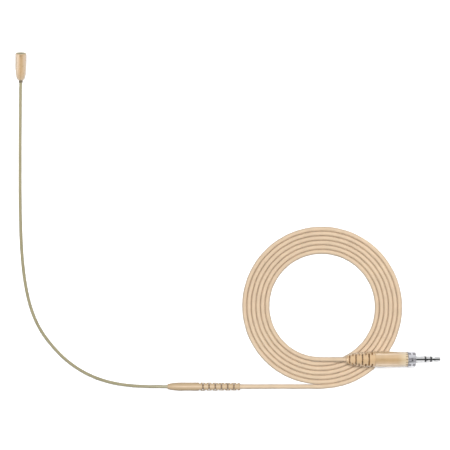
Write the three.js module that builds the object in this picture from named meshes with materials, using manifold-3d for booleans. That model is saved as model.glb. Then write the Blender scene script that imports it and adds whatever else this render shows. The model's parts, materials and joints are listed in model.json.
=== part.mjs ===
// Headworn boom microphone with its cable: a capsule on a bendable boom, a slotted strain relief,
// about one and a half metres of thin cable wound into a flat coil, and a 3.5 mm jack plug with a
// locking nut. It lies flat on a table. Millimetres, +Z up, the table at z = 0.
// In the layout plane, X runs along the strain relief towards the cable and Y up along the boom.
import * as THREE from "three";
import { mergeVertices } from "three/addons/utils/BufferGeometryUtils.js";
import Module from "manifold-3d";

const wasm = await Module();
wasm.setup();

const rad = THREE.MathUtils.degToRad;
const v2 = (x, y) => new THREE.Vector2(x, y);
const v3 = (x, y, z) => new THREE.Vector3(x, y, z);

// ---------------------------------------------------------------- driving dimensions

const GAP = 0.1; // between neighbouring pieces that are glued, pressed or screwed together
const FINE_GAP = 0.06; // between the nested contacts and insulators of the jack

const boom = {
  radius: 0.85,
  bore: 0.56,
  leadRadius: 0.36, // of the screened lead inside
  straightEnd: 77.9, // X where the boom leaves the relief's line
  uprightY: 138.2, // where the arm becomes straight
  elbow: v2(14, 28.95), // the middle of the large bend
  elbowAngle: rad(54.4), // heading of the boom there, measured from -X towards +Y
  tipBendY: 148, // where the tip is bent towards or away from the mouth
  liftY: 169.5, // where the boom starts to rise towards the capsule
  lowest: 0.9, // height of the centreline there
  bendGap: 0.35, // half the clearance between boom stretches at a bend
};

const capsule = {
  base: v3(0.38, 175.24, 1.86), // centre of the housing's rear face
  length: 15.95,
  radius: 3.16,
  tail: [
    [1.5, 0],
    [1.9, 0.4],
    [2.25, 1],
    [2.62, 2.1],
    [2.82, 3.3],
    [2.95, 4.6],
    [3.06, 6],
    [3.13, 7.8],
    [3.16, 9.5],
  ], // the housing's outline behind its straight front, as radius and distance from the rear
  rise: rad(14), // the front looks up a little
  lean: rad(1),
  cavity: 2.55,
  cavityFloor: 5.6,
  mouth: 2.35,
  lip: 0.3, // thickness of the front edge that holds the grille
  ventRadius: 0.3,
  ventBehind: 1.35, // from the front edge back to the vent
};

const relief = {
  start: 84.4, // X of the nose, where the boom goes in
  end: 125.7, // X of the tail, where the cable comes out
  radius: 2.3, // also the height of its axis, as it rests on the table
  noseRadius: 1.35,
  tailRadius: 2.12,
  bore: 1.5,
  firstSlot: 102.8,
  slotPitch: 1.77,
  slotCount: 13,
  slotWidth: 0.85,
};

const cable = { radius: 1.28, coreRadius: 0.45 };

const coil = { centreX: 172.1, outer: 45.7, turns: 6, pitch: 2.6, height: 2.6 };
coil.inner = coil.outer - coil.turns * coil.pitch;

const plug = {
  tailX: 202.3, // X of the housing's rear end
  axisY: coil.outer - coil.inner + 0.06,
  tailZ: 8.05, // the housing rests on the coil and the nut's rim on the table
  dip: rad(8.7), // so the jack points slightly down
  housingRadius: 4.45,
  housingLength: 18.7,
  housingBore: 3.75,
  notchCount: 16, // in the housing's front edge
  bootLength: 15.9,
  bootBendRadius: 43,
  bootFirstSlot: -13.67,
  bootSlotPitch: 1.73,
  bootSlotCount: 8,
  bootSlotWidth: 0.8,
};

const nut = {
  start: 19.1,
  end: 23.6,
  radius: 4.5,
  lip: 2.75,
  thread: 3.3,
  flutes: 8, // in each of two rows
  fluteRadius: 1.3,
  fluteDepth: 0.4,
  band: 0.7, // between the rows
};

// Where the jack's contacts start and end is measured from its shoulder.
const jack = {
  shoulder: 23.4,
  radius: 1.75,
  rear: -9.7,
  sleeveEnd: 5.6,
  ringStart: 6.6,
  ringEnd: 8.87,
  tipStart: 9.87,
  tipEnd: 15.05,
};

// ---------------------------------------------------------------- materials

const finish = (color, roughness, metalness = 0) =>
  new THREE.MeshStandardMaterial({ color, roughness, metalness });

const materials = {
  shell: () => finish(0xdcbf98, 0.5),
  softBeige: () => finish(0xdec097, 0.6),
  cableBeige: () => finish(0xe2c6a2, 0.55),
  boomPaint: () => finish(0xada587, 0.45),
  darkCollar: () => finish(0x7d7052, 0.5),
  darkMesh: () => finish(0x6f6750, 0.6, 0.5),
  felt: () => finish(0x3a382f, 0.95),
  silver: () => finish(0xb9bbc2, 0.28, 1),
  chrome: () => finish(0xdfe1e4, 0.1, 1),
  brass: () => finish(0xc9a75a, 0.35, 1),
  blackPlastic: () => finish(0x1d1d1f, 0.5),
  whitePlastic: () => finish(0xe8e6df, 0.5),
  board: () => finish(0x2d6a45, 0.5),
  copper: () => finish(0xb87333, 0.4, 1),
};

// ---------------------------------------------------------------- shape helpers

// A closed mesh as a manifold-3d solid, and back again.
function toSolid(geometry) {
  const bare = geometry.clone();
  bare.deleteAttribute("normal");
  bare.deleteAttribute("uv");
  const merged = mergeVertices(bare, 1e-4);
  return new wasm.Manifold(
    new wasm.Mesh({
      numProp: 3,
      vertProperties: merged.attributes.position.array,
      triVerts: new Uint32Array(merged.index.array),
    }),
  );
}

function toGeometry(solid) {
  const mesh = solid.getMesh();
  const geometry = new THREE.BufferGeometry();
  geometry.setAttribute("position", new THREE.BufferAttribute(mesh.vertProperties, 3));
  geometry.setIndex(new THREE.BufferAttribute(mesh.triVerts, 1));
  geometry.computeVertexNormals();
  return geometry;
}

function cut(geometry, cutters) {
  const start = toSolid(geometry);
  return toGeometry(cutters.reduce((left, cutter) => left.subtract(toSolid(cutter)), start));
}

function join(geometries) {
  const solids = geometries.map(toSolid);
  return toGeometry(solids.reduce((sum, solid) => sum.add(solid)));
}

// A solid turned about local Y from an outline of [radius, y] pairs. The outline either starts and
// ends on the axis or is closed into a ring, and is put in the order that faces the surface out.
function turned(outline, sides = 24) {
  const points = outline.map(([radius, y]) => v2(radius, y));
  const onAxis = points[0].x === 0 && points.at(-1).x === 0;
  if (THREE.ShapeUtils.area(points) < 0) points.reverse();
  if (!onAxis) points.push(points[0].clone());
  return new THREE.LatheGeometry(points, sides);
}

const disc = (radius, low, high, sides) =>
  turned([[0, low], [radius, low], [radius, high], [0, high]], sides);

const ring = (bore, radius, low, high, sides) =>
  turned([[bore, low], [radius, low], [radius, high], [bore, high]], sides);

const block = (x, y, z, centre) => {
  const geometry = new THREE.BoxGeometry(x, y, z);
  return geometry.translate(centre.x, centre.y, centre.z);
};

function polygon(radius, sides) {
  const corner = (i) => (2 * Math.PI * i) / sides;
  return Array.from({ length: sides }, (_, i) =>
    v2(radius * Math.cos(corner(i)), radius * Math.sin(corner(i))),
  );
}

// A round bar along a curve, or a tube when a bore is given.
function bar(curve, radius, { bore = 0, sides = 8, steps = 12 } = {}) {
  const section = new THREE.Shape(polygon(radius, sides));
  if (bore) section.holes.push(new THREE.Path(polygon(bore, sides)));
  return new THREE.ExtrudeGeometry(section, { steps, extrudePath: curve, bevelEnabled: false });
}

const wire = (points, radius = 0.17) =>
  bar(new THREE.CatmullRomCurve3(points), radius, { sides: 6, steps: 6 });

// The part of a curve between two distances along it.
class Stretch extends THREE.Curve {
  constructor(curve, from, to) {
    super();
    this.curve = curve;
    this.from = from / curve.getLength();
    this.to = to / curve.getLength();
  }

  getPoint(t, target) {
    return this.curve.getPointAt(THREE.MathUtils.lerp(this.from, this.to, t), target);
  }
}

function piece(group, name, geometry, material) {
  const mesh = new THREE.Mesh(geometry, materials[material]());
  mesh.name = name;
  group.add(mesh);
}

// ---------------------------------------------------------------- the boom

// The boom lies in a plane that falls gently from the relief's axis to the table.
const boomHeight = (y) =>
  THREE.MathUtils.lerp(relief.radius, boom.lowest, y / boom.liftY);

const onBoomPlane = (x, y) => v3(x, y, boomHeight(y));

const capsuleAxis = v3(
  Math.sin(capsule.lean),
  Math.cos(capsule.rise),
  Math.sin(capsule.rise),
).normalize();

function boomPath() {
  const { elbow, elbowAngle, tipBendY, liftY } = boom;
  const heading = v2(-Math.cos(elbowAngle), Math.sin(elbowAngle));
  const reliefEnd = onBoomPlane(boom.straightEnd, 0);
  const corner = onBoomPlane(elbow.x, elbow.y);
  const upright = onBoomPlane(0, boom.uprightY);
  const tipBend = onBoomPlane(0.08, tipBendY);
  const lift = onBoomPlane(0.25, liftY);
  const collarEnd = capsule.base.clone().addScaledVector(capsuleAxis, -1.8);
  const path = new THREE.CurvePath();
  path.add(new THREE.LineCurve3(v3(relief.start + 8, 0, relief.radius), reliefEnd));
  path.add(
    new THREE.CubicBezierCurve3(
      reliefEnd,
      onBoomPlane(reliefEnd.x - 22.5, 0),
      onBoomPlane(elbow.x - 32.5 * heading.x, elbow.y - 32.5 * heading.y),
      corner,
    ),
  );
  path.add(
    new THREE.CubicBezierCurve3(
      corner,
      onBoomPlane(elbow.x + 25 * heading.x, elbow.y + 25 * heading.y),
      onBoomPlane(0, upright.y - 55.2),
      upright,
    ),
  );
  path.add(new THREE.LineCurve3(upright, tipBend));
  path.add(new THREE.LineCurve3(tipBend, lift));
  path.add(
    new THREE.QuadraticBezierCurve3(
      lift,
      capsule.base.clone().addScaledVector(capsuleAxis, -3.5),
      collarEnd,
    ),
  );
  path.add(
    new THREE.LineCurve3(collarEnd, capsule.base.clone().addScaledVector(capsuleAxis, 7)),
  );
  return path;
}

// The boom is one soft steel tube. It is cut at its two usual bends, so that each can turn.
function addBoom(group) {
  const path = boomPath();
  const ends = path.getCurveLengths();
  const whole = path.getLength();
  const stretches = [
    ["lower", 0, ends[1] - boom.bendGap, 20],
    ["middle", ends[1] + boom.bendGap, ends[3] - boom.bendGap, 20],
    ["upper", ends[3] + boom.bendGap, whole, 14],
  ];
  for (const [name, from, to, steps] of stretches) {
    const tube = { bore: boom.bore, sides: 8, steps };
    const skin = bar(new Stretch(path, from, to), boom.radius, tube);
    piece(group, `boom_tube_${name}`, skin, "boomPaint");
    const inside = new Stretch(path, from + 0.5, to - 0.5);
    const lead = bar(inside, boom.leadRadius, { sides: 6, steps });
    piece(group, `boom_lead_${name}`, lead, "copper");
  }
}

// ---------------------------------------------------------------- the capsule

// Local Y runs from the housing's rear face to its front.
function addCapsule(group) {
  const { length, radius, tail, cavity, cavityFloor, mouth, lip } = capsule;
  const boomHole = boom.radius + GAP;
  const shell = turned(
    [
      [boomHole, 0],
      ...tail,
      [radius, length - 0.7],
      [radius - 0.12, length - 0.25],
      [radius - 0.4, length],
      [mouth, length],
      [mouth, length - lip],
      [cavity, length - lip],
      [cavity, cavityFloor],
      [boomHole, cavityFloor],
    ],
    24,
  );
  const { ventRadius, ventBehind } = capsule;
  const vent = new THREE.CylinderGeometry(ventRadius, ventRadius, 2, 8).rotateX(Math.PI / 2);
  vent.translate(0, length - ventBehind, radius);
  piece(group, "capsule_housing", cut(shell, [vent]), "shell");
  piece(group, "boom_collar", ring(boom.radius + 0.06, 1.1, -1.75, -GAP, 16), "darkCollar");

  const front = length - lip - GAP;
  const hole = (x, z) => new THREE.CylinderGeometry(0.24, 0.24, 2, 6).translate(x, front, z);
  const holes = [hole(0, 0)];
  for (const [count, reach] of [[6, 0.85], [10, 1.7]])
    for (let i = 0; i < count; i++) {
      const turn = (2 * Math.PI * i) / count;
      holes.push(hole(reach * Math.cos(turn), reach * Math.sin(turn)));
    }
  piece(group, "front_grille", cut(disc(2.45, front - 0.3, front, 20), holes), "darkMesh");
  piece(group, "damping_felt", disc(2.42, front - 0.8, front - 0.4, 16), "felt");
  addElement(group, front - 0.9);
  piece(group, "element_gasket", ring(1.5, 2.44, 8.7, 9.5, 16), "blackPlastic");
  piece(group, "boom_anchor_nut", ring(boom.radius + GAP, 1.9, cavityFloor + GAP, 6.9, 16), "brass");
  const live = wire([v3(0.5, 7.2, 0), v3(0.75, 8.4, 0.2), v3(0.8, 9.75, 0.4)]);
  piece(group, "element_wire_live", live, "copper");
  const screen = wire([v3(-0.5, 7.2, 0), v3(-0.75, 8.4, 0), v3(-0.8, 9.75, -0.4)]);
  piece(group, "element_wire_screen", screen, "copper");
}

// The electret element: a can with its layers stacked behind the sound port.
function addElement(group, face) {
  const can = [
    [0.5, face],
    [2.4, face],
    [2.4, 9.6],
    [1.9, 9.6],
    [1.9, 9.8],
    [2.2, 9.8],
    [2.2, face - 0.2],
    [0.5, face - 0.2],
  ];
  piece(group, "element_can", turned(can, 20), "silver");
  const layer = (depth) => face - 0.2 - depth;
  piece(group, "diaphragm_ring", ring(1.7, 2.1, layer(0.4), layer(0.1), 20), "brass");
  piece(group, "diaphragm", disc(2.1, layer(0.6), layer(0.5), 20), "silver");
  piece(group, "spacer_washer", ring(1.75, 2.1, layer(0.8), layer(0.7), 20), "whitePlastic");
  const hole = (x, z) => new THREE.CylinderGeometry(0.18, 0.18, 2, 6).translate(x, layer(1.1), z);
  const plate = cut(disc(1.75, layer(1.3), layer(0.95), 20), [
    hole(0.8, 0),
    hole(-0.8, 0),
    hole(0, 0.8),
    hole(0, -0.8),
  ]);
  piece(group, "backplate", plate, "brass");
  const cup = [
    [1.86, layer(0.9)],
    [2.1, layer(0.9)],
    [2.1, 10.6],
    [1.7, 10.6],
    [1.7, layer(1.4)],
    [1.86, layer(1.4)],
  ];
  piece(group, "backplate_cup", turned(cup, 20), "whitePlastic");
  piece(group, "element_board", disc(2.1, 9.9, 10.5, 20), "board");
  piece(group, "amplifier_chip", block(1.2, 0.6, 1, v3(0, 10.95, 0)), "blackPlastic");
}

// ---------------------------------------------------------------- the strain relief

// A soft sleeve over a curve is slotted from two sides at a time, each slot turned a quarter from the
// last, so that it bends evenly. The slots reach the bore and leave a web on either side.
function slots(count, first, step, width, reach) {
  const through = 12;
  return Array.from({ length: count }, (_, i) => {
    const y = first + i * step;
    const half = reach(y);
    const across = i % 2 === 0;
    return block(across ? through : 2 * half, width, across ? 2 * half : through, v3(0, y, 0));
  });
}

// Local Y runs from the nose to the tail.
function addRelief(group) {
  const { start, end, radius, noseRadius, tailRadius, bore } = relief;
  const length = end - start;
  const slotted = relief.firstSlot - start;
  const nose = new THREE.CubicBezierCurve(v2(noseRadius, 0), v2(1.9, 1.5), v2(radius, 4.5), v2(radius, 8));
  const wall = (y) =>
    THREE.MathUtils.mapLinear(Math.max(y, slotted), slotted, length, radius, tailRadius);
  const boomHole = boom.radius + 2 * GAP;
  const sleeve = turned(
    [
      [boomHole, 0],
      ...nose.getPoints(6).map((p) => [p.x, p.y]),
      [radius, slotted - 1],
      [tailRadius, length - 0.3],
      [tailRadius - 0.3, length],
      [bore, length],
      [bore, 3.2],
      [boomHole, 3.2],
    ],
    16,
  );
  const cutters = slots(
    relief.slotCount,
    slotted,
    relief.slotPitch,
    relief.slotWidth,
    (y) => 0.68 * wall(y),
  );
  piece(group, "relief_sleeve", cut(sleeve, cutters), "softBeige");
  piece(group, "boom_crimp", ring(boom.radius + GAP, bore - GAP, 3.4, 8, 12), "brass");
  piece(group, "splice_sleeve", ring(0.75, 1.05, 8.3, 14.6, 10), "blackPlastic");
  piece(group, "cable_core", disc(cable.coreRadius, 8.3, 15.2, 8), "copper");
  piece(group, "cable_end_relief", disc(cable.radius, 15.4, length, 12), "cableBeige");
}

// ---------------------------------------------------------------- the cable

// From the relief's tail down to the table and along it to the outer turn of the coil.
const leadRoute = [
  v3(126, 0, 2.3),
  v3(129, 0, 2.26),
  v3(132, 0, 2.14),
  v3(135, 0, 1.97),
  v3(138, 0, 1.77),
  v3(141, 0, 1.58),
  v3(144, 0, 1.43),
  v3(147, 0, 1.34),
  v3(150, 0, 1.3),
  v3(155.8, 0, 1.3),
];

// From the inner turn, over the coil, up into the plug's boot.
const tailRoute = [
  v3(172.8, plug.axisY, 4.32),
  v3(175, plug.axisY, 4.84),
  v3(177.5, plug.axisY, 5.44),
  v3(180, plug.axisY, 6.03),
  v3(182.5, plug.axisY, 6.61),
  v3(184.5, plug.axisY, 7.06),
  v3(186.2, plug.axisY, 7.45),
];

function addCable(group) {
  const lead = new THREE.CatmullRomCurve3(leadRoute);
  const tail = new THREE.CatmullRomCurve3(tailRoute);
  piece(group, "cable_lead", bar(lead, cable.radius, { steps: 10 }), "cableBeige");
  piece(group, "cable_tail", bar(tail, cable.radius, { steps: 6 }), "cableBeige");
  const half = coil.pitch / 2;
  const turns = ring(coil.inner - half, coil.outer + half, 0, coil.height, 60);
  turns.rotateX(Math.PI / 2).translate(coil.centreX, coil.outer, 0);
  piece(group, "cable_coil", turns, "cableBeige");
}

// ---------------------------------------------------------------- the plug

// The boot follows the cable's weight: behind the housing it curves towards the table.
function bendDown(geometry) {
  const place = geometry.getAttribute("position");
  const bend = plug.bootBendRadius;
  for (let i = 0; i < place.count; i++) {
    const y = place.getY(i);
    if (y >= 0) continue;
    const turn = -y / bend;
    const reach = bend + place.getZ(i);
    place.setY(i, -reach * Math.sin(turn));
    place.setZ(i, reach * Math.cos(turn) - bend);
  }
  return geometry;
}

function addBoot(group) {
  const { bootFirstSlot, bootSlotPitch, bootSlotCount, bootSlotWidth } = plug;
  const tail = -plug.bootLength;
  const outline = new THREE.CubicBezierCurve(
    v2(2.15, tail),
    v2(3.2, tail + 1.5),
    v2(4.15, tail + 6),
    v2(4.3, -0.6),
  );
  const bore = cable.radius + 2 * GAP;
  const boot = turned(
    [
      [bore, tail],
      ...outline.getPoints(9).map((p) => [p.x, p.y]),
      [4.3, -GAP],
      [bore, -GAP],
    ],
    16,
  );
  const reach = (y) => THREE.MathUtils.mapLinear(y, bootFirstSlot, 0, 2.2, 3.1);
  const cutters = slots(bootSlotCount, bootFirstSlot, bootSlotPitch, bootSlotWidth, reach);
  for (const cutter of cutters) cutter.rotateY(Math.PI / 2);
  piece(group, "plug_boot", bendDown(cut(boot, cutters)), "softBeige");
  const rows = [tail, -13, -10, -7, -4, -1, 0, 3.4];
  const surface = rows.map((y) => [cable.radius, y]);
  const end = turned([[0, tail], ...surface, [0, 3.4]], 12);
  piece(group, "cable_end_plug", bendDown(end), "cableBeige");
}

function addHousing(group) {
  const { housingRadius, housingLength, housingBore, notchCount } = plug;
  const shell = turned(
    [
      [cable.radius + 2 * GAP, 0],
      [housingRadius - 0.1, 0],
      [housingRadius, 0.4],
      [housingRadius, housingLength - 1],
      [housingRadius - 0.2, housingLength],
      [housingBore, housingLength],
      [housingBore, 1.2],
      [cable.radius + 2 * GAP, 1.2],
    ],
    32,
  );
  const notches = Array.from({ length: notchCount }, (_, i) => {
    const notch = block(0.5, 2, 0.9, v3(0, housingLength - 0.3, housingRadius));
    return notch.rotateY((2 * Math.PI * i) / notchCount);
  });
  piece(group, "plug_housing", cut(shell, notches), "shell");
}

function addNut(group) {
  const { start, end, radius, lip, thread, flutes, fluteRadius, fluteDepth, band } = nut;
  const body = turned(
    [
      [lip, start],
      [radius - 0.2, start],
      [radius, start + 0.2],
      [radius, end - 0.2],
      [radius - 0.2, end],
      [thread, end],
      [thread, start + 1.1],
      [lip, start + 1.1],
    ],
    32,
  );
  const row = (end - start - band) / 2 - 0.2;
  const cutters = [];
  for (const centre of [start + 0.2 + row / 2, end - 0.2 - row / 2])
    for (let i = 0; i < flutes; i++) {
      const flute = new THREE.CylinderGeometry(fluteRadius, fluteRadius, row, 12);
      flute.translate(0, centre, radius + fluteRadius - fluteDepth);
      flute.rotateY((2 * Math.PI * i) / flutes);
      cutters.push(flute);
    }
  piece(group, "locking_nut", cut(body, cutters), "silver");
}

// What the housing holds: the brass body that carries the jack and the nut, the cable clamp, and the
// solder lugs with their wires.
function addPlugCore(group) {
  const bore = jack.radius + GAP;
  const body = [
    [bore, 14],
    [3.6, 14],
    [3.6, nut.start - 0.2],
    [2.6, nut.start - 0.2],
    [2.6, jack.shoulder],
    [bore, jack.shoulder],
  ];
  piece(group, "plug_body", turned(body, 24), "brass");
  piece(group, "nut_clip", ring(2.68, 3.1, nut.start + 1.2, nut.start + 1.75, 20), "silver");
  const clamp = join([
    ring(cable.radius + GAP, cable.radius + 0.45, 1.5, 3.2, 12),
    block(1.2, 11.2, 0.35, v3(0, 7.5, -2.1)),
    block(1.2, 0.9, 1, v3(0, 2.35, -1.8)),
  ]);
  piece(group, "cable_clamp", clamp, "brass");
  piece(group, "tip_lug", block(1, 3, 0.3, v3(0, 9.6, 0)), "brass");
  piece(group, "ring_lug", block(1, 3, 0.3, v3(0, 10.6, 1.3)), "brass");
  const wires = {
    tip: [v3(0, 3.6, 0), v3(0.1, 5.8, 0.1), v3(0, 8, 0)],
    ring: [v3(0.3, 3.6, 0.6), v3(0.2, 6, 1.1), v3(0, 9, 1.3)],
    screen: [v3(-0.3, 3.6, -0.6), v3(-0.1, 5, -1.1), v3(0, 6.6, -1.7)],
  };
  for (const [name, points] of Object.entries(wires))
    piece(group, `plug_wire_${name}`, wire(points), "copper");
}

// Sleeve, ring and tip are nested tubes with an insulator between each pair. Each reaches back to the
// rear by one step more than the one outside it.
function addJack(group) {
  const { radius } = jack;
  const [rear, sleeveEnd, ringStart, ringEnd, tipStart, tipEnd] = [
    jack.rear,
    jack.sleeveEnd,
    jack.ringStart,
    jack.ringEnd,
    jack.tipStart,
    jack.tipEnd,
  ].map((distance) => jack.shoulder + distance);
  const nested = (bore, neck, outer, back, from, to) =>
    turned([[bore, back], [neck, back], [neck, from], [outer, from], [outer, to], [bore, to]], 20);
  const rearCollar = nested(0.96, 1.2, radius - 0.05, rear - 0.6, sleeveEnd + FINE_GAP, ringStart - FINE_GAP);
  const ringContact = nested(0.66, 0.9, radius, rear - 1.2, ringStart, ringEnd);
  const frontCollar = nested(0.42, 0.6, radius - 0.1, rear - 1.8, ringEnd + FINE_GAP, tipStart - FINE_GAP);
  const tip = [
    [0, rear - 2.4],
    [0.34, rear - 2.4],
    [0.34, tipStart],
    [1.45, tipStart],
    [1.42, tipStart + 0.4],
    [1.66, tipStart + 1.9],
    [1.66, tipStart + 2.7],
    [1.42, tipEnd - 0.6],
    [1.05, tipEnd - 0.15],
    [0, tipEnd],
  ];
  piece(group, "jack_sleeve", ring(1.26, radius, rear, sleeveEnd, 24), "chrome");
  piece(group, "rear_insulator", rearCollar, "blackPlastic");
  piece(group, "jack_ring", ringContact, "chrome");
  piece(group, "front_insulator", frontCollar, "blackPlastic");
  piece(group, "jack_tip", turned(tip, 24), "chrome");
}

// ---------------------------------------------------------------- assembly

function assemble() {
  const microphone = new THREE.Group();
  addBoom(microphone);

  const head = new THREE.Group();
  head.position.copy(capsule.base);
  head.quaternion.setFromUnitVectors(v3(0, 1, 0), capsuleAxis);
  addCapsule(head);
  microphone.add(head);

  const sleeve = new THREE.Group();
  sleeve.position.set(relief.start, 0, relief.radius);
  sleeve.rotation.z = -Math.PI / 2;
  addRelief(sleeve);
  microphone.add(sleeve);
  return microphone;
}

function assembleCord() {
  const cord = new THREE.Group();
  addCable(cord);
  const connector = new THREE.Group();
  connector.position.set(plug.tailX, plug.axisY, plug.tailZ);
  connector.rotation.set(0, plug.dip, -Math.PI / 2, "YZX");
  addBoot(connector);
  addHousing(connector);
  addNut(connector);
  addPlugCore(connector);
  addJack(connector);
  cord.add(connector);
  return cord;
}

// The origin is on the table, under the middle of the boom, capsule and relief.
const microphone = assemble();
const cord = assembleCord();
const object = new THREE.Group();
object.add(microphone, cord);
microphone.updateMatrixWorld(true);
const middle = new THREE.Box3().setFromObject(microphone, true).getCenter(v3(0, 0, 0));
object.position.set(-middle.x, -middle.y, 0);

export default object;
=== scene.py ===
"""Looks of the headset boom microphone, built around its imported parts. Lengths are in millimetres in
the shapes' own frames and become metres where a shape is put in its place."""

import json
import math

import bmesh
import bpy
from mathutils import Matrix, Vector


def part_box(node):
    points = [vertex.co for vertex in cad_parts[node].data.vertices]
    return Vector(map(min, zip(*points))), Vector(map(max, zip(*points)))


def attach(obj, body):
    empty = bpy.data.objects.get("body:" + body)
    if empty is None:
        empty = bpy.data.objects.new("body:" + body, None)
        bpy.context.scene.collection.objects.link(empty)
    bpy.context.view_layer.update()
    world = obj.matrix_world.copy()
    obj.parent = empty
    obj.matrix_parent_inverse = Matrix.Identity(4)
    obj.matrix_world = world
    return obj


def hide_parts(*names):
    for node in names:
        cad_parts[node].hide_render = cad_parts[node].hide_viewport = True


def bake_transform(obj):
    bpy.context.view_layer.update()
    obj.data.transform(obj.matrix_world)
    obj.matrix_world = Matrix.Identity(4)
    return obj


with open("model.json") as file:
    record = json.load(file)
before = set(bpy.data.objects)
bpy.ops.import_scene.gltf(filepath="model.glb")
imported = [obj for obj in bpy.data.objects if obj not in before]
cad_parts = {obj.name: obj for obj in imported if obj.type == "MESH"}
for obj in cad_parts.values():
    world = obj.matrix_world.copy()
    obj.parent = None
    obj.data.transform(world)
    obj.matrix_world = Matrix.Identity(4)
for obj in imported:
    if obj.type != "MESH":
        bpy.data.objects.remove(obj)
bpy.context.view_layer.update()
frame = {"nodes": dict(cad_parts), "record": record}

MM = 0.001

# ------------------------------------------------------------------ sizes, as in the CAD model

RELIEF_START, RELIEF_END, RELIEF_RADIUS = 84.4, 125.7, 2.3
RELIEF_LENGTH = RELIEF_END - RELIEF_START
RELIEF_TAIL_RADIUS, FIRST_SLOT, SLOT_PITCH, SLOT_COUNT, SLOT_WIDTH = 2.12, 18.4, 1.77, 13, 0.85
CABLE_RADIUS = 1.28
FIT = 0.03  # between a piece and one that it is pushed onto
BOOM_RADIUS = 0.85
COIL_X, COIL_OUTER, COIL_TURNS, COIL_PITCH = 172.1, 45.7, 6, 2.6
COIL_INNER = COIL_OUTER - COIL_TURNS * COIL_PITCH
CAPSULE_LENGTH, CAPSULE_RADIUS, CAVITY, CAVITY_FLOOR = 15.95, 3.16, 2.55, 5.6
VENT_BEHIND = 1.35  # from the capsule's front edge back to the vent
TAIL_Y = COIL_OUTER - COIL_INNER  # of the cable where it leaves the coil
PLUG_AXIS_Y = TAIL_Y + 0.06
PLUG_BASE, PLUG_DIP = (202.3, PLUG_AXIS_Y, 8.05), 8.7
BOOT_LENGTH, BOOT_BEND = 15.9, 43.0
BOOT_FIRST_SLOT, BOOT_SLOT_PITCH, BOOT_SLOT_COUNT, BOOT_SLOT_WIDTH = -13.67, 1.73, 8, 0.76
BOOT_PLAIN_END = -14.3  # behind this the boot has no slots
HOUSING_RADIUS, HOUSING_LENGTH, NOTCHES = 4.45, 18.7, 16
NUT_START, NUT_END, NUT_RADIUS, NUT_FLUTES = 19.1, 23.6, 4.5, 8
NUT_LIP, NUT_THREAD, NUT_BAND = 2.75, 3.3, 0.7
JACK_SHOULDER, JACK_RADIUS = 23.4, 1.75

relief_low, relief_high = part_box("relief_sleeve")
LAYOUT_X = relief_low.x / MM - RELIEF_START
LAYOUT_Y = (relief_low.y + relief_high.y) / 2 / MM


def at(x, y, z):
    """A point of the layout plane, in metres in the row's frame."""
    return Vector((x + LAYOUT_X, y + LAYOUT_Y, z)) * MM


# Each group's frame: local Y runs along its axis, in millimetres.
TO_METRES = Matrix.Scale(MM, 4)
CAPSULE_RISE, CAPSULE_LEAN = math.radians(14), math.radians(1)
CAPSULE_AXIS = Vector((math.sin(CAPSULE_LEAN), math.cos(CAPSULE_RISE), math.sin(CAPSULE_RISE))).normalized()
CAPSULE_BASE = Vector((0.38, 175.24, 1.86))
capsule_frame = (
    Matrix.Translation(at(*CAPSULE_BASE))
    @ Vector((0, 1, 0)).rotation_difference(CAPSULE_AXIS).to_matrix().to_4x4()
    @ TO_METRES
)
relief_frame = (
    Matrix.Translation(at(RELIEF_START, 0, RELIEF_RADIUS))
    @ Matrix.Rotation(math.radians(-90), 4, "Z")
    @ TO_METRES
)
plug_frame = (
    Matrix.Translation(at(*PLUG_BASE))
    @ Matrix.Rotation(math.radians(PLUG_DIP), 4, "Y")
    @ Matrix.Rotation(math.radians(-90), 4, "Z")
    @ TO_METRES
)


# ------------------------------------------------------------------ camera

PICTURE_WIDTH = 257.2  # across the picture, at PICTURE_HEIGHT above the table
PICTURE_CENTRE, PICTURE_HEIGHT = (117.18, 92.34), 2.5
LENS, SENSOR = 400.0, 36.0


def add_camera():
    data = bpy.data.cameras.new("camera")
    data.lens = LENS
    data.sensor_width = SENSOR
    data.clip_end = 20
    camera = bpy.data.objects.new("camera", data)
    camera.location = at(*PICTURE_CENTRE, PICTURE_WIDTH * LENS / SENSOR + PICTURE_HEIGHT)
    bpy.context.scene.collection.objects.link(camera)
    bpy.context.scene.camera = camera


add_camera()


# ------------------------------------------------------------------ shader helpers


def new_material(name):
    material = bpy.data.materials.new(name)
    material.use_nodes = True
    nodes = material.node_tree.nodes
    shader = nodes["Principled BSDF"]
    return material, nodes, material.node_tree.links, shader


def noise(nodes, links, scale, detail=3.0, roughness=0.55, stretch=None):
    """A noise in object space, in millimetres: scale is in cycles per millimetre."""
    place = nodes.new("ShaderNodeTexCoord")
    texture = nodes.new("ShaderNodeTexNoise")
    texture.inputs["Scale"].default_value = scale / MM
    texture.inputs["Detail"].default_value = detail
    texture.inputs["Roughness"].default_value = roughness
    if stretch is None:
        links.new(place.outputs["Object"], texture.inputs["Vector"])
    else:
        mapping = nodes.new("ShaderNodeMapping")
        mapping.inputs["Scale"].default_value = stretch
        links.new(place.outputs["Object"], mapping.inputs["Vector"])
        links.new(mapping.outputs["Vector"], texture.inputs["Vector"])
    return texture.outputs["Fac"]


def ramp(nodes, links, source, stops):
    """Maps a value to colours: stops are (position, (r, g, b))."""
    node = nodes.new("ShaderNodeValToRGB")
    elements = node.color_ramp.elements
    while len(elements) < len(stops):
        elements.new(0.5)
    for element, (position, colour) in zip(elements, stops):
        element.position = position
        element.color = (*colour, 1)
    links.new(source, node.inputs["Fac"])
    return node.outputs["Color"]


def spread(nodes, links, source, low, high):
    """Maps a noise's middle range onto low to high."""
    node = nodes.new("ShaderNodeMapRange")
    node.inputs["From Min"].default_value = 0.3
    node.inputs["From Max"].default_value = 0.7
    node.inputs["To Min"].default_value = low
    node.inputs["To Max"].default_value = high
    links.new(source, node.inputs["Value"])
    return node.outputs["Result"]


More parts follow.
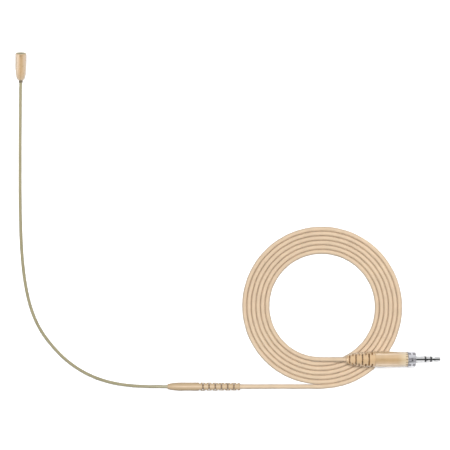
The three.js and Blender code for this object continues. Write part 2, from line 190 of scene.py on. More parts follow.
def bump(nodes, links, heights, shader):
    """Adds each (height, depth in millimetres) to the surface."""
    last = None
    for height, depth in heights:
        node = nodes.new("ShaderNodeBump")
        node.inputs["Strength"].default_value = 1
        node.inputs["Distance"].default_value = depth * MM
        links.new(height, node.inputs["Height"])
        if last is not None:
            links.new(last, node.inputs["Normal"])
        last = node.outputs["Normal"]
    links.new(last, shader.inputs["Normal"])


def shade(colour, factor):
    return tuple(c * factor for c in colour)


def mottled(nodes, links, source, colour, mottle):
    return ramp(nodes, links, source, [(0.3, shade(colour, 1 - mottle)), (0.7, shade(colour, 1 + mottle))])


def fading(nodes, links, near, far, start, end):
    """Fades one colour into another along the row's X axis, from start to end."""
    place = nodes.new("ShaderNodeTexCoord")
    split = nodes.new("ShaderNodeSeparateXYZ")
    links.new(place.outputs["Object"], split.inputs["Vector"])
    along = nodes.new("ShaderNodeMapRange")
    along.interpolation_type = "SMOOTHSTEP"
    along.inputs["From Min"].default_value = start
    along.inputs["From Max"].default_value = end
    links.new(split.outputs["X"], along.inputs["Value"])
    mix = nodes.new("ShaderNodeMix")
    mix.data_type = "RGBA"
    links.new(along.outputs["Result"], mix.inputs["Factor"])
    links.new(near, mix.inputs[6])
    links.new(far, mix.inputs[7])
    return mix.outputs[2]


def moulded(
    name, colour, rough, specular=0.5, grain=6.0, grain_depth=0.006, mottle=0.05, coat=0.0, fade=None
):
    """Moulded plastic or rubber: slow mottling, a fine grain, and small scuffs in the gloss.

    fade is a second colour with the X range over which the first turns into it."""
    material, nodes, links, shader = new_material(name)
    slow = noise(nodes, links, 0.25, 4)
    tint = mottled(nodes, links, slow, colour, mottle)
    if fade:
        other, start, end = fade
        tint = fading(nodes, links, tint, mottled(nodes, links, slow, other, mottle), start, end)
    links.new(tint, shader.inputs["Base Color"])
    fine = noise(nodes, links, grain, 2)
    scuffs = noise(nodes, links, 0.9, 3, 0.5)
    links.new(spread(nodes, links, scuffs, rough - 0.06, rough + 0.08), shader.inputs["Roughness"])
    shader.inputs["Specular IOR Level"].default_value = specular
    shader.inputs["Coat Weight"].default_value = coat
    shader.inputs["Coat Roughness"].default_value = 0.18
    shader.inputs["Coat IOR"].default_value = 1.6
    bump(nodes, links, [(fine, grain_depth), (slow, 0.008)], shader)
    return material


def metal(name, colour, rough, grain=8.0, grain_depth=0.002, stretch=None, mottle=0.04, metallic=1.0):
    """Bare or plated metal with fine tool marks and uneven gloss."""
    material, nodes, links, shader = new_material(name)
    slow = noise(nodes, links, 0.6, 4)
    links.new(
        ramp(nodes, links, slow, [(0.3, shade(colour, 1 - mottle)), (0.7, shade(colour, 1))]),
        shader.inputs["Base Color"],
    )
    shader.inputs["Metallic"].default_value = metallic
    marks = noise(nodes, links, grain, 3, 0.6, stretch)
    links.new(spread(nodes, links, marks, rough * 0.75, rough * 1.3), shader.inputs["Roughness"])
    bump(nodes, links, [(marks, grain_depth)], shader)
    return material


# ------------------------------------------------------------------ materials

SHELL = (0.485, 0.33, 0.178)
RELIEF = (0.50, 0.370, 0.232)
BOOT = (0.57, 0.391, 0.22)
PLUG = (0.51, 0.346, 0.184)
CABLE = (0.615, 0.475, 0.335)

shell_beige = moulded("shell_beige", SHELL, 0.3, specular=1.0, grain=2.5, grain_depth=0.001, coat=1.0)
relief_beige = moulded("relief_beige", RELIEF, 0.42, specular=0.2, grain=7, grain_depth=0.006)
cable_beige = moulded("cable_beige", CABLE, 0.5, specular=0.25, grain=4, grain_depth=0.006)
boom_khaki = moulded("boom_khaki", (0.31, 0.28, 0.17), 0.36, specular=0.4, grain=9, grain_depth=0.003)
collar_olive = moulded("collar_olive", (0.145, 0.12, 0.075), 0.38, specular=0.5, grain=8)
black_felt = moulded("black_felt", (0.03, 0.03, 0.028), 0.95, grain=14, grain_depth=0.05, mottle=0.3)
black_plastic = moulded("black_plastic", (0.02, 0.02, 0.022), 0.35, grain=8)
black_rubber = moulded("black_rubber", (0.025, 0.025, 0.025), 0.7, grain=10)
white_plastic = moulded("white_plastic", (0.72, 0.70, 0.64), 0.45)
board_green = moulded("board_green", (0.03, 0.14, 0.06), 0.35, specular=0.7)
mesh_dark = metal("mesh_dark", (0.42, 0.385, 0.26), 0.42, grain=20)
silver = metal("silver", (0.59, 0.59, 0.62), 0.36, grain=12, grain_depth=0.004)
chrome = metal("chrome", (0.57, 0.575, 0.58), 0.05, grain=16, grain_depth=0.0006)
aluminium = metal("aluminium", (0.75, 0.76, 0.78), 0.3)
brass = metal("brass", (0.72, 0.52, 0.22), 0.28)
copper = metal("copper", (0.66, 0.32, 0.16), 0.3)

shell_plug = moulded(
    "shell_plug", PLUG, 0.34, specular=1.0, grain=6, grain_depth=0.0008, coat=1.0,
    fade=((0.62, 0.49, 0.31), at(215.3, 0, 0).x, at(220, 0, 0).x),
)
# painted shade: a darker brown copy of the relief's beige, for the faces deep inside its slots
relief_painted_shade = moulded("relief_painted_shade", (0.30, 0.19, 0.10), 0.7, specular=0.2, grain=7)
# painted shade: a dark brown for the cable where it runs inside the relief and the boot
cable_painted_shade = moulded("cable_painted_shade", (0.26, 0.18, 0.11), 0.6, specular=0.2)
# painted shade: a darker, rougher, less metallic copy of the nut's silver, for its flutes and inner faces
silver_painted_shade = metal("silver_painted_shade", (0.38, 0.372, 0.39), 0.75, grain=12, metallic=0.6)
boot_beige = moulded("boot_beige", BOOT, 0.42, specular=0.5, grain=6, grain_depth=0.003, coat=0.5)
# painted light: a paler copy of the boot's beige, for the faces deep inside its slots, to lift their shadow
boot_slot_painted_light = moulded("boot_slot_painted_light", (0.78, 0.53, 0.29), 0.7, specular=0.1, grain=7)
# painted shade: a dark brown for the faces inside the notches at the housing's front
notch_painted_shade = moulded("notch_painted_shade", (0.30, 0.22, 0.14), 0.6, specular=0.2, grain=7)

by_slot = {
    "shell_beige": shell_beige,
    "relief_beige": relief_beige,
    "cable_beige": cable_beige,
    "boom_khaki": boom_khaki,
    "collar_olive": collar_olive,
    "dark_mesh": mesh_dark,
    "black_felt": black_felt,
    "silver_nut": silver,
    "chrome_contact": chrome,
    "element_aluminium": aluminium,
    "brass": brass,
    "black_insulator": black_plastic,
    "black_rubber": black_rubber,
    "white_insulator": white_plastic,
    "green_board": board_green,
    "copper_wire": copper,
}
slot_of = {s["node"]: s["material_slot"] for s in frame["record"]["subparts"]}


def paint_nodes():
    for name, node in frame["nodes"].items():
        node.data.materials.clear()
        # the cable's pieces inside the sleeves, seen through their slots, are painted in shade instead of
        # their beige
        gets_painted_shade = name in ("cable_core", "cable_end_relief", "cable_end_plug")
        node.data.materials.append(cable_painted_shade if gets_painted_shade else by_slot[slot_of[name]])


paint_nodes()


# ------------------------------------------------------------------ mesh helpers


def show(name, mesh, body, replaced, slot, sharp=35, recess=None):
    """Puts a finished mesh, already in metres, in the scene as a piece on a body."""
    mesh.polygons.foreach_set("use_smooth", [True] * len(mesh.polygons))
    mesh.set_sharp_from_angle(angle=math.radians(sharp))
    indices = [face.material_index for face in mesh.polygons]
    mesh.materials.clear()
    mesh.materials.append(by_slot[slot])
    # recess is a second material for recessed faces: painted shade, and on the boot painted light
    if recess:
        mesh.materials.append(recess)
        mesh.polygons.foreach_set("material_index", indices)
    piece = bpy.data.objects.new(name, mesh)
    bpy.context.scene.collection.objects.link(piece)
    if body:
        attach(piece, body)
    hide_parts(*replaced)
    return piece


def mesh_from(name, vertices, faces):
    mesh = bpy.data.meshes.new(name)
    mesh.from_pydata([tuple(v) for v in vertices], [], faces)
    work = bmesh.new()
    work.from_mesh(mesh)
    bmesh.ops.remove_doubles(work, verts=work.verts, dist=1e-5)
    bmesh.ops.recalc_face_normals(work, faces=work.faces)
    work.to_mesh(mesh)
    work.free()
    return mesh


def turned(name, outline, sides=96):
    """A solid turned about local Y from (radius, y) pairs that start and end on the axis or close."""
    on_axis = outline[0][0] == 0 and outline[-1][0] == 0
    rows = len(outline)
    vertices = []
    for i in range(sides):
        turn = 2 * math.pi * i / sides
        vertices += [(r * math.sin(turn), y, r * math.cos(turn)) for r, y in outline]
    faces = []
    for i in range(sides):
        here, there = i * rows, (i + 1) % sides * rows
        for j in range(rows - 1 if on_axis else rows):
            k = (j + 1) % rows
            faces.append((here + j, here + k, there + k, there + j))
    return mesh_from(name, vertices, faces)


def rounded(outline, radius, steps=4):
    """An outline whose listed corners are rounded: points are (r, y) or (r, y, True) for a sharp one."""
    result = []
    count = len(outline)
    for i, point in enumerate(outline):
        here = Vector(point[:2])
        before = Vector(outline[i - 1][:2])
        after = Vector(outline[(i + 1) % count][:2])
        if len(point) > 2 or here.x == 0:
            result.append(tuple(here))
            continue
        reach = min(radius, 0.45 * (before - here).length, 0.45 * (after - here).length)
        start = here + (before - here).normalized() * reach
        end = here + (after - here).normalized() * reach
        for k in range(steps + 1):
            t = k / steps
            result.append(tuple(start.lerp(here, t).lerp(here.lerp(end, t), t)))
    return result


def bezier(p0, p1, p2, p3, steps):
    points = []
    for i in range(steps + 1):
        t = i / steps
        a, b, c, d = (1 - t) ** 3, 3 * t * (1 - t) ** 2, 3 * t * t * (1 - t), t ** 3
        points.append(tuple(a * w + b * x + c * y + d * z for w, x, y, z in zip(p0, p1, p2, p3)))
    return points


def block(size, centre):
    work = bmesh.new()
    bmesh.ops.create_cube(work, size=1)
    place = Matrix.Translation(centre) @ Matrix.Diagonal((*size, 1))
    bmesh.ops.transform(work, matrix=place, verts=work.verts)
    mesh = bpy.data.meshes.new("cutter")
    work.to_mesh(mesh)
    work.free()
    return mesh


def joined(name, meshes):
    work = bmesh.new()
    for mesh in meshes:
        work.from_mesh(mesh)
    mesh = bpy.data.meshes.new(name)
    work.to_mesh(mesh)
    work.free()
    return mesh


def carve(mesh, cutters, edge=0.0, edge_steps=2, limit=40):
    """Cuts closed meshes that don't touch each other out of one, then rounds the sharp edges."""
    target = bpy.data.objects.new("target", mesh)
    tool = bpy.data.objects.new("tool", joined("tool", cutters))
    for thing in (target, tool):
        bpy.context.scene.collection.objects.link(thing)
    cut = target.modifiers.new("cut", "BOOLEAN")
    cut.operation = "DIFFERENCE"
    cut.solver = "EXACT"
    cut.object = tool
    if edge:
        weld = target.modifiers.new("weld", "WELD")
        weld.merge_threshold = 0.01
        soften = target.modifiers.new("soften", "BEVEL")
        soften.width = edge
        soften.segments = edge_steps
        soften.limit_method = "ANGLE"
        soften.angle_limit = math.radians(limit)
    bpy.context.view_layer.update()
    graph = bpy.context.evaluated_depsgraph_get()
    result = bpy.data.meshes.new_from_object(target.evaluated_get(graph))
    result.name = mesh.name
    for thing in (target, tool):
        bpy.data.objects.remove(thing)
    return result


def paint_recess_shade_and_light(mesh, surface, depth):
    """Gives the second material to faces deeper than depth below surface(y), before the mesh is bent. That
    material is painted shade in the relief's slots, the housing's notches and the nut's flutes, and painted
    light in the boot's slots.
    """
    for face in mesh.polygons:
        x, y, z = face.center
        if math.hypot(x, z) < surface(y) - depth:
            face.material_index = 1


def placed(mesh, matrix):
    mesh.transform(matrix)
    return mesh


# ------------------------------------------------------------------ the cable

# From the relief's tail down to the table, and along it to the outer turn.
LEAD_ROUTE = [
    (125.5, 0, 2.3), (127, 0, 2.3), (129, 0, 2.26), (132, 0, 2.14), (135, 0, 1.97), (138, 0, 1.77),
    (141, 0, 1.58), (144, 0, 1.43), (147, 0, 1.34), (150, 0, 1.3), (155.8, 0, 1.3), (161, 0, 1.3),
    (166.5, 0, 1.3),
]
# From the inner turn, over the coil, up into the plug's boot.
TAIL_ROUTE = [
    (175, 4.84), (177.5, 5.44), (180, 6.03), (182.5, 6.61), (184.5, 7.06), (186.2, 7.45), (186.9, 7.6),
]
STEPS_PER_TURN = 24
RISE_LENGTH = 35.4  # of cable that lifts off the table towards the boot
TAIL_LENGTH = 14.4  # of it after the coil


def lifted(distance):
    """Height of the cable's centreline, from how far along the rise it is."""
    q = max(0.0, distance / RISE_LENGTH)
    rest, top, end_slope = 1.3, 7.52, 0.2217
    smooth = 3 * q * q - 2 * q ** 3
    return rest + (top - rest) * smooth + RISE_LENGTH * end_slope * (q ** 3 - q * q)


def cable_route():
    points = [at(*p) for p in LEAD_ROUTE]
    count = COIL_TURNS * STEPS_PER_TURN
    for i in range(count + 1):
        turn = 2 * math.pi * i / STEPS_PER_TURN
        radius = COIL_OUTER - COIL_PITCH * i / STEPS_PER_TURN
        left = (count - i) / STEPS_PER_TURN * 2 * math.pi * COIL_INNER
        height = lifted(RISE_LENGTH - TAIL_LENGTH - left)
        points.append(
            at(COIL_X + radius * math.sin(turn), COIL_OUTER - radius * math.cos(turn), height)
        )
    for x, z in TAIL_ROUTE:
        q = min(1, (x - COIL_X) / 10)
        points.append(at(x, TAIL_Y + (PLUG_AXIS_Y - TAIL_Y) * (3 * q * q - 2 * q ** 3), z))
    return points


def add_cable():
    curve = bpy.data.curves.new("cable", "CURVE")
    curve.dimensions = "3D"
    curve.bevel_depth = CABLE_RADIUS * MM
    curve.bevel_resolution = 5
    curve.resolution_u = 6
    curve.use_fill_caps = True
    route = cable_route()
    spline = curve.splines.new("BEZIER")
    spline.bezier_points.add(len(route) - 1)
    for point, place in zip(spline.bezier_points, route):
        point.co = place
        point.handle_left_type = point.handle_right_type = "AUTO"
    curve.materials.append(cable_beige)
    cable = bpy.data.objects.new("cable", curve)
    bpy.context.scene.collection.objects.link(cable)
    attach(cable, "cable_body")
    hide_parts("cable_lead", "cable_coil", "cable_tail")
    return cable


cable = add_cable()


# ------------------------------------------------------------------ the boom

LIFT_Y = 169.5
LOWEST = 0.9
ELBOW = (14.0, 28.95)
ELBOW_HEADING = (-math.cos(math.radians(54.4)), math.sin(math.radians(54.4)))
ARM_SPLIT_Y = 92.0
BOOM_BORE, LEAD_RADIUS = 0.56, 0.36


def on_boom(x, y):
    """A point on the gently falling plane that the boom lies in."""
    return (x, y, RELIEF_RADIUS + (LOWEST - RELIEF_RADIUS) * y / LIFT_Y)


def on_capsule(distance):
    return tuple(CAPSULE_BASE + CAPSULE_AXIS * distance)


def line(start, end, steps):
    return [tuple(Vector(start).lerp(Vector(end), i / steps)) for i in range(steps + 1)]


def boom_route():
    x, y = ELBOW
    hx, hy = ELBOW_HEADING
    relief_end, upright = on_boom(77.9, 0), on_boom(0, 138.2)
    lift, collar_end = on_boom(0.25, LIFT_Y), on_capsule(-1.8)
    corner = on_capsule(-3.5)
    stretches = [
        line((RELIEF_START + 8, 0, RELIEF_RADIUS), relief_end, 6),
        bezier(relief_end, on_boom(55.4, 0), on_boom(x - 32.5 * hx, y - 32.5 * hy), on_boom(x, y), 40),
        bezier(on_boom(x, y), on_boom(x + 25 * hx, y + 25 * hy), on_boom(0, 83), upright, 60),
        line(upright, lift, 24),
        [
            tuple(Vector(lift).lerp(Vector(corner), t).lerp(Vector(corner).lerp(Vector(collar_end), t), t))
            for t in (i / 8 for i in range(9))
        ],
        line(collar_end, on_capsule(6.9), 5),
    ]
    route = stretches[0]
    for stretch in stretches[1:]:
        route = route + stretch[1:]
    return route


def swept(name, route, radius, bore=0.0, sides=28):
    """A round bar along a route, or a tube with a bore, closed at both ends."""
    points = [at(*p) for p in route]
    last = len(points) - 1
    walls = [radius, bore] if bore else [radius]
    vertices = []
    faces = []
    for wall in walls:
        for i, point in enumerate(points):
            ahead = (points[min(i + 1, last)] - points[max(i - 1, 0)]).normalized()
            side = ahead.cross(Vector((0, 0, 1))).normalized()
            up = side.cross(ahead)
            for j in range(sides):
                turn = 2 * math.pi * j / sides
                vertices.append(point + (side * math.cos(turn) + up * math.sin(turn)) * wall * MM)
    for layer in range(len(walls)):
        base = layer * len(points) * sides
        for i in range(last):
            here, there = base + i * sides, base + (i + 1) * sides
            for j in range(sides):
                k = (j + 1) % sides
                faces.append((here + j, here + k, there + k, there + j))
    for end in (0, last * sides):
        if bore:
            inner = len(points) * sides + end
            for j in range(sides):
                k = (j + 1) % sides
                faces.append((end + j, end + k, inner + k, inner + j))
        else:
            faces.append(tuple(range(end, end + sides)))
    return mesh_from(name, vertices, faces)


def along_boom(lower, upper):
    """Bakes the placement of a lower and an upper piece of the boom into their meshes."""
    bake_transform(lower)
    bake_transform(upper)


def add_boom():
    """The painted tube and the screened lead inside it, each in two pieces that meet in mid-arm."""
    route = boom_route()
    split = min(range(len(route)), key=lambda i: abs(route[i][1] - ARM_SPLIT_Y))
    low, high = route[: split + 1], route[split:]
    tubes = ["boom_tube_lower", "boom_tube_middle"], ["boom_tube_upper"]
    leads = ["boom_lead_lower", "boom_lead_middle"], ["boom_lead_upper"]
    along_boom(
        show("boom_lower", swept("boom_lower", low, BOOM_RADIUS, BOOM_BORE), None, tubes[0], "boom_khaki"),
        show("boom_upper", swept("boom_upper", high, BOOM_RADIUS, BOOM_BORE), None, tubes[1], "boom_khaki"),
    )
    along_boom(
        show("lead_lower", swept("lead_lower", low, LEAD_RADIUS, sides=12), None, leads[0], "copper_wire"),
        show("lead_upper", swept("lead_upper", high, LEAD_RADIUS, sides=12), None, leads[1], "copper_wire"),
    )


add_boom()


# ------------------------------------------------------------------ the capsule


def vent_place(height):
    """Turns a shape about local Y into one that faces up out of the housing, just behind its front."""
    place = Matrix.Translation((0, CAPSULE_LENGTH - VENT_BEHIND, height))
    return place @ Matrix.Rotation(math.radians(-90), 4, "X") @ Matrix.Diagonal((1.5, 1, 1, 1))


def add_capsule():
    length, radius = CAPSULE_LENGTH - 0.3, CAPSULE_RADIUS
    tail = bezier((1.5, 0.05), (2.4, 0.8), (2.75, 2.4), (2.95, 4.6), 20)
    tail += bezier((2.95, 4.6), (3.06, 5.9), (radius, 7.4), (radius, 9.5), 14)[1:]
    hole = BOOM_RADIUS + 0.04
    outline = [
        (hole, 0.15),
        (1.35, 0),
        *tail,
        (radius, length - 0.75),
        *bezier((radius, length - 0.55), (radius, length - 0.2), (3.0, length), (2.84, length), 8),
        (2.74, length - 0.06),
        (2.7, length - 0.2),
        (CAVITY, length - 0.5),
        (CAVITY, CAVITY_FLOOR),
        (hole, CAVITY_FLOOR),
    ]
    shell = turned("capsule_shell", outline, 112)
    reach = 0.34
    vent = turned("vent", [(0, -1), (reach, -1), (reach, reach), (0, reach)], 24)
    vent.transform(vent_place(radius))
    shell = carve(shell, [vent])
    show("capsule_shell", placed(shell, capsule_frame), "boom_tip", ["capsule_housing"], "shell_beige")

    collar = rounded([(hole, -1.4), (1.06, -1.4), (1.1, -0.02), (hole, -0.02)], 0.12)
    collar = turned("boom_ferrule", collar, 64)
    show("boom_ferrule", placed(collar, capsule_frame), "boom_tip", ["boom_collar"], "collar_olive")


def add_grille():
    """A woven wire cloth stretched over the mouth, slightly domed, held in a thin ring."""
    face = CAPSULE_LENGTH - 0.1
    reach, pitch, wire, dome = 2.62, 0.27, 0.065, 0.3
    count = int(reach / pitch)
    vertices, faces = [], []

    def strand(offset, along_x, phase):
        half = math.sqrt(reach * reach - offset * offset)
        steps = max(8, int(half * 2 / pitch * 4))
        first = len(vertices)
        sides = 6
        for i in range(steps + 1):
            t = -half + 2 * half * i / steps
            lift = dome * (1 - (t * t + offset * offset) / (reach * reach))
            wave = wire * 0.9 * math.cos(math.pi * t / pitch + phase)
            for j in range(sides):
                turn = 2 * math.pi * j / sides
                across = offset + wire * math.cos(turn)
                up = face - dome + lift + wave + wire * math.sin(turn)
                vertices.append((t, up, across) if along_x else (across, up, t))
        for i in range(steps):
            for j in range(sides):
                k = (j + 1) % sides
                a, b = first + i * sides, first + (i + 1) * sides
                faces.append((a + j, a + k, b + k, b + j))
        faces.append(tuple(range(first, first + sides)))
        faces.append(tuple(range(first + steps * sides, first + (steps + 1) * sides)))

    for n in range(-count, count + 1):
        offset = n * pitch
        if abs(offset) < reach - 0.1:
            strand(offset, True, math.pi * (n % 2))
            strand(offset, False, math.pi * ((n + 1) % 2))
    cloth = mesh_from("front_mesh", vertices, faces)
    low, high = face - dome - 0.2, face - dome + 0.1
    rim = turned("rim", rounded([(2.5, low), (2.68, low), (2.68, high), (2.5, high)], 0.06), 72)
    screen = turned("screen", [(0, -0.06), (0.5, -0.06), (0.5, 0), (0, 0)], 24)
    screen.transform(vent_place(CAPSULE_RADIUS - 0.4))
    cloth = joined("front_mesh", [cloth, rim, screen])
    show("front_mesh", placed(cloth, capsule_frame), "boom_tip", ["front_grille"], "dark_mesh", sharp=60)


add_capsule()
add_grille()


# ------------------------------------------------------------------ slotted mouldings


def slots(count, first, pitch, width, radius, from_sides, from_above, above_first=False):
    """Cutters for slots from two sides at a time, each a quarter turn from the last.

    from_sides and from_above are the shares of the radius at y that the two kinds of slot reach."""
    through = 14
    cutters = []
    for i in range(count):
        y = first + i * pitch
        if i % 2 == int(above_first):
            size = (through, width, 2 * from_sides * radius(y))
        else:
            size = (2 * from_above * radius(y), width, through)
        cutters.append(block(size, Vector((0, y, 0))))
    return cutters


def add_relief():
    length, radius, tail_radius = RELIEF_LENGTH, RELIEF_RADIUS, RELIEF_TAIL_RADIUS
    slotted = FIRST_SLOT
    bore, nose_bore, nose_length, floor = CABLE_RADIUS + FIT, BOOM_RADIUS + 0.04, 8, 3.2
    nose = bezier((1.35, 0), (1.9, 1.5), (radius, 4.5), (radius, nose_length), 24)
    outline = [
        (nose_bore, 0.12),
        (1.15, 0),
        *nose,
        (radius, slotted - 2.5),
        (radius, slotted - 1),
        *line((radius, slotted), (tail_radius, length - 0.35), 20),
        (tail_radius - 0.1, length - 0.08),
        (tail_radius - 0.3, length),
        (bore, length),
        (bore, floor),
        (nose_bore, floor),
    ]

    def wall(y):
        return radius + (tail_radius - radius) * max(0, y - slotted) / (length - slotted)

    sleeve = turned("relief", outline, 72)
    cutters = slots(SLOT_COUNT, slotted, SLOT_PITCH, SLOT_WIDTH, wall, 0.68, 0.8)
    sleeve = carve(sleeve, cutters, edge=0.13, edge_steps=3)
    # the faces deep in the slots get the relief's painted shade
    paint_recess_shade_and_light(sleeve, lambda y: wall(y) if y > nose_length else 0, 0.32)
    sleeve = placed(sleeve, relief_frame)
    show("relief", sleeve, "cable_body", ["relief_sleeve"], "relief_beige", recess=relief_painted_shade)


def bend_down(mesh):
    """Behind the housing the boot curves towards the table."""
    for vertex in mesh.vertices:
        x, y, z = vertex.co
        if y < 0:
            turn = -y / BOOT_BEND
            reach = BOOT_BEND + z
            vertex.co = (x, -reach * math.sin(turn), reach * math.cos(turn) - BOOT_BEND)
    return mesh


def add_boot():
    tail, front, radius = -BOOT_LENGTH, -0.02, 4.3
    bore = CABLE_RADIUS + FIT
    swell = bezier((2.15, tail + 0.15), (3.2, tail + 1.5), (4.15, tail + 6), (radius, -0.6), 60)
    outline = [
        (bore, tail),
        (1.9, tail),
        *swell,
        (radius, front - 0.1),
        (radius - 0.08, front),
        (bore, front),
    ]

    def wall(y):
        return min(swell, key=lambda point: abs(point[1] - y))[0]

    boot = turned("boot", outline, 80)
    cutters = slots(
        BOOT_SLOT_COUNT, BOOT_FIRST_SLOT, BOOT_SLOT_PITCH, BOOT_SLOT_WIDTH, wall, 0.8, 0.8, above_first=True
    )
    boot = carve(boot, cutters, edge=0.14, edge_steps=3)
    # the faces deep in the slots get the boot's painted light, paler than the boot itself
    paint_recess_shade_and_light(boot, lambda y: wall(y) if y > BOOT_PLAIN_END else 0, 0.35)
    boot = placed(bend_down(boot), plug_frame)
    piece = show("boot", boot, "cable_body", ["plug_boot"], "relief_beige", recess=boot_slot_painted_light)
    piece.data.materials[0] = boot_beige


add_relief()
add_boot()


# ------------------------------------------------------------------ the plug


def add_housing():
    length, radius = HOUSING_LENGTH, HOUSING_RADIUS
    end, front = NUT_START - 0.04, radius - 0.2
    bore, cable_bore, back = 3.75, 1.4, 1.2
    outline = [
        (cable_bore, 0),
        (radius - 0.2, 0),
        (radius - 0.06, 0.05),
        (radius, 0.2),
        *line((radius, 0.5), (radius, length - 5), 12),
        *line((radius - 0.03, length - 4.4), (front - 0.02, end - 0.25), 6),
        (front - 0.1, end - 0.05),
        (front - 0.22, end),
        (bore, end),
        (bore, back),
        (cable_bore, back),
    ]
    notches = []
    for i in range(NOTCHES):
        notch = block((0.5, 2, 0.9), Vector((0, end - 0.3, radius)))
        notch.transform(Matrix.Rotation(2 * math.pi * i / NOTCHES, 4, "Y"))
        notches.append(notch)
    shell = carve(turned("plug_shell", outline, 96), notches, edge=0.05, edge_steps=2)
    # the faces inside the notches get painted shade
    paint_recess_shade_and_light(shell, lambda y: radius if end - 1.4 < y < end - 0.02 else 0, 0.3)
    shell = placed(shell, plug_frame)
    piece = show("plug_shell", shell, "cable_body", ["plug_housing"], "shell_beige", recess=notch_painted_shade)
    piece.data.materials[0] = shell_plug


def add_nut():
    start, end, radius = NUT_START, NUT_END, NUT_RADIUS
    chamfer, web = 0.25, start + 1.1
    outline = [
        (NUT_LIP, start),
        (radius - chamfer, start),
        (radius, start + chamfer),
        (radius, end - chamfer),
        (radius - chamfer, end),
        (NUT_THREAD + 0.15, end),
        (NUT_THREAD, end - 0.15),
        *thread(NUT_THREAD, end - 0.3, start + 1.4, 0.35, 0.12),
        (NUT_THREAD, web),
        (NUT_LIP, web),
    ]
    margin = 0.2
    half = (end - start - NUT_BAND) / 4 - margin / 2
    flute_radius, flute_depth = 1.3, 0.4
    section = [(0, -half), (flute_radius, -half), (flute_radius, half), (0, half)]
    cutters = []
    for centre in (start + margin + half, end - margin - half):
        for i in range(NUT_FLUTES):
            flute = turned("flute", section, 48)
            flute.transform(
                Matrix.Rotation(2 * math.pi * i / NUT_FLUTES, 4, "Y")
                @ Matrix.Translation((0, centre, radius + flute_radius - flute_depth))
            )
            cutters.append(flute)
    nut = carve(turned("nut", outline, 128), cutters, edge=0.07, edge_steps=2)
    # the flutes and inner faces get the nut's painted shade
    paint_recess_shade_and_light(nut, lambda y: radius, 0.12)
    show("nut", placed(nut, plug_frame), "lock_nut", ["locking_nut"], "silver_nut", recess=silver_painted_shade)


def thread(radius, start, end, pitch, depth):
    """Rings that look like a fine inner thread, from start down to end."""
    points = []
    count = int((start - end) / pitch)
    for i in range(count):
        y = start - i * pitch
        points += [(radius, y), (radius - depth, y - pitch / 2)]
    return points


def add_jack():
    s, radius = JACK_SHOULDER, JACK_RADIUS
    sleeve_end, ring_start, ring_end, tip_start, tip_end = s + 5.64, s + 6.6, s + 8.87, s + 9.87, s + 15.05
    edge, gap = 0.08, 0.03
    sleeve_bore, ring_bore, ring_stem, stem = 1.26, 0.66, 0.9, 0.34
    sleeve = [(sleeve_bore, s - 9.7), (radius, s - 9.7), (radius, sleeve_end), (sleeve_bore, sleeve_end)]
    band = [(ring_stem, ring_start, 1), (radius, ring_start), (radius, ring_end), (ring_bore, ring_end, 1)]
    neck, swell = 1.42, 1.66
    tip = bezier(
        (1.45, tip_start + 0.3), (neck, tip_start + 0.7), (swell, tip_start + 1.3), (swell, tip_start + 2), 10
    )
    tip += bezier(
        (swell, tip_start + 2.2), (swell, tip_end - 1.9), (1.55, tip_end - 1.1), (1.42, tip_end - 0.6), 12
    )
    tip += bezier((1.39, tip_end - 0.52), (1.25, tip_end - 0.1), (0.7, tip_end), (0, tip_end), 12)
    pieces = [
        ("sleeve_contact", rounded(sleeve, edge), "jack_sleeve", "chrome_contact"),
        (
            "ring_contact",
            [(ring_bore, s - 10.9), (ring_stem, s - 10.9)] + rounded(band, edge),
            "jack_ring",
            "chrome_contact",
        ),
        (
            "rear_collar",
            [(0.96, s - 10.3), (1.2, s - 10.3), (1.2, sleeve_end + gap)]
            + [(1.68, sleeve_end + gap), (1.68, ring_start - gap), (0.96, ring_start - gap)],
            "rear_insulator",
            "black_insulator",
        ),
        (
            "front_collar",
            [(0.42, s - 11.5), (0.6, s - 11.5), (0.6, ring_end + gap), (1.66, ring_end + gap)]
            + [(1.6, tip_start - gap), (0.42, tip_start - gap)],
            "front_insulator",
            "black_insulator",
        ),
        (
            "tip_contact",
            [(0, s - 12.1), (stem, s - 12.1), (stem, tip_start), (neck, tip_start), (1.45, tip_start + 0.05)]
            + tip,
            "jack_tip",
            "chrome_contact",
        ),
    ]
    for name, outline, node, slot in pieces:
        mesh = turned(name, outline, 72)
        show(name, placed(mesh, plug_frame), "cable_body", [node], slot, sharp=30)


def add_plug_body():
    """The brass body behind the nut, all of it given the nut's plating, which shows on its front face around
    the jack.
    """
    bore = JACK_RADIUS + FIT
    outline = rounded(
        [
            (bore, 14),
            (3.6, 14),
            (3.6, NUT_START - 0.2),
            (2.6, NUT_START - 0.2),
            (2.6, JACK_SHOULDER),
            (bore, JACK_SHOULDER),
        ],
        0.12,
        3,
    )
    mesh = turned("plug_core", outline, 72)
    show("plug_core", placed(mesh, plug_frame), "cable_body", ["plug_body"], "silver_nut")


add_housing()
add_nut()
add_jack()
add_plug_body()


# ------------------------------------------------------------------ floor and light


def add_sheet(name, shade, depth, glow=0.0):
    side = 3.0
    mesh = bpy.data.meshes.new(name)
    corners = [(-side, -side, 0), (side, -side, 0), (side, side, 0), (-side, side, 0)]
    mesh.from_pydata(corners, [], [(0, 1, 2, 3)])
    material, nodes, links, shader = new_material(name)
    slow = noise(nodes, links, 0.004, 2)
    colours = [(0.3, (shade * 0.99,) * 3), (0.7, (shade,) * 3)]
    links.new(ramp(nodes, links, slow, colours), shader.inputs["Base Color"])
    shader.inputs["Roughness"].default_value = 0.9
    shader.inputs["Specular IOR Level"].default_value = 0.1
    shader.inputs["Emission Color"].default_value = (1, 1, 1, 1)
    shader.inputs["Emission Strength"].default_value = glow
    mesh.materials.append(material)
    sheet = bpy.data.objects.new(name, mesh)
    sheet.location.z = -depth
    bpy.context.scene.collection.objects.link(sheet)
    return sheet


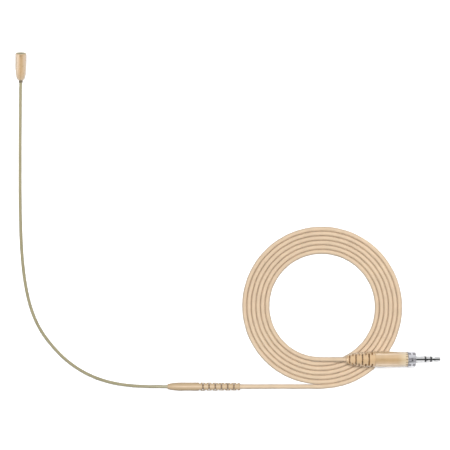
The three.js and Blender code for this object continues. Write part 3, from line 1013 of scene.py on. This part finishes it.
def add_floor():
    """A white floor, and a greyer one under it that throws less light back onto the undersides.

    The white one glows a little, so that shadows on it stay faint."""
    floor = add_sheet("floor", 0.92, 0.00002, 0.2)
    floor.visible_diffuse = False
    floor.visible_shadow = False
    bounce = add_sheet("bounce", 0.2, 0.0002)
    bounce.visible_camera = False
    bounce.visible_glossy = False


def dark_patch(nodes, links, direction, centre, reach):
    """1 in the middle of an oval of the sky, seen along z, and 0 outside it."""
    mapping = nodes.new("ShaderNodeMapping")
    mapping.inputs["Location"].default_value = (-centre[0] / reach[0], -centre[1] / reach[1], 0)
    mapping.inputs["Scale"].default_value = (1 / reach[0], 1 / reach[1], 0)
    links.new(direction, mapping.inputs["Vector"])
    gradient = nodes.new("ShaderNodeTexGradient")
    gradient.gradient_type = "SPHERICAL"
    links.new(mapping.outputs["Vector"], gradient.inputs["Vector"])
    return gradient.outputs["Fac"]


def add_surroundings():
    """Pale surroundings that only gloss reflects, with dark patches overhead between the panels."""
    world = bpy.data.worlds.new("studio")
    bpy.context.scene.world = world
    world.use_nodes = True
    world.cycles_visibility.diffuse = False
    nodes, links = world.node_tree.nodes, world.node_tree.links
    direction = nodes.new("ShaderNodeTexCoord").outputs["Generated"]
    over_plug = dark_patch(nodes, links, direction, (0.5, -0.1), (1.0, 0.45))
    over_capsule = dark_patch(nodes, links, direction, (0, -0.47), (0.34, 0.44))
    darkest = nodes.new("ShaderNodeMath")
    darkest.operation = "MAXIMUM"
    links.new(over_plug, darkest.inputs[0])
    links.new(over_capsule, darkest.inputs[1])
    levels = [(0.0, 1.0), (0.08, 1.0), (0.16, 0.05), (1.0, 0.02)]
    sky = ramp(nodes, links, darkest.outputs["Value"], [(at_, (level,) * 3) for at_, level in levels])
    background = nodes["Background"]
    links.new(sky, background.inputs["Color"])
    background.inputs["Strength"].default_value = 1.08


def add_panel(name, centre, target, size, radiance, only_gloss=False):
    """A strip light that the camera doesn't see: centre, target and size are in millimetres."""
    data = bpy.data.lights.new(name, "AREA")
    data.shape = "RECTANGLE"
    data.size, data.size_y = (side * MM for side in size)
    data.energy = radiance * math.pi * data.size * data.size_y
    panel = bpy.data.objects.new(name, data)
    panel.location = at(*centre)
    away = panel.location - at(*target)
    panel.rotation_euler = away.to_track_quat("Z", "Y").to_euler()
    panel.visible_camera = False
    panel.visible_diffuse = not only_gloss
    bpy.context.scene.collection.objects.link(panel)


def add_light():
    """A soft overhead key, and strips beside the capsule and the plug for their bright flanks.

    The strip over the relief is seen only in gloss, as the bright line along its crest."""
    data = bpy.data.lights.new("key", "SUN")
    data.energy = 4.08
    data.angle = math.radians(26)
    key = bpy.data.objects.new("key", data)
    key.rotation_euler = (math.radians(-6), math.radians(1), 0)
    key.visible_glossy = False
    bpy.context.scene.collection.objects.link(key)

    for side in (-1, 1):
        capsule = (0.5, 180, 3)
        add_panel(f"capsule_strip_{side}", (side * 100, 158, 34), capsule, (46, 130), 1.6)
        housing = (212, PLUG_AXIS_Y, 7)
        add_panel(f"plug_strip_{side}", (229, PLUG_AXIS_Y + side * 100, 22), housing, (20, 40), 2.4)
    add_panel("relief_strip", (98, 0, 50), (98, 0, RELIEF_RADIUS), (40, 11), 45, True)


add_floor()
add_surroundings()
add_light()
bpy.context.scene.view_settings.view_transform = "Standard"
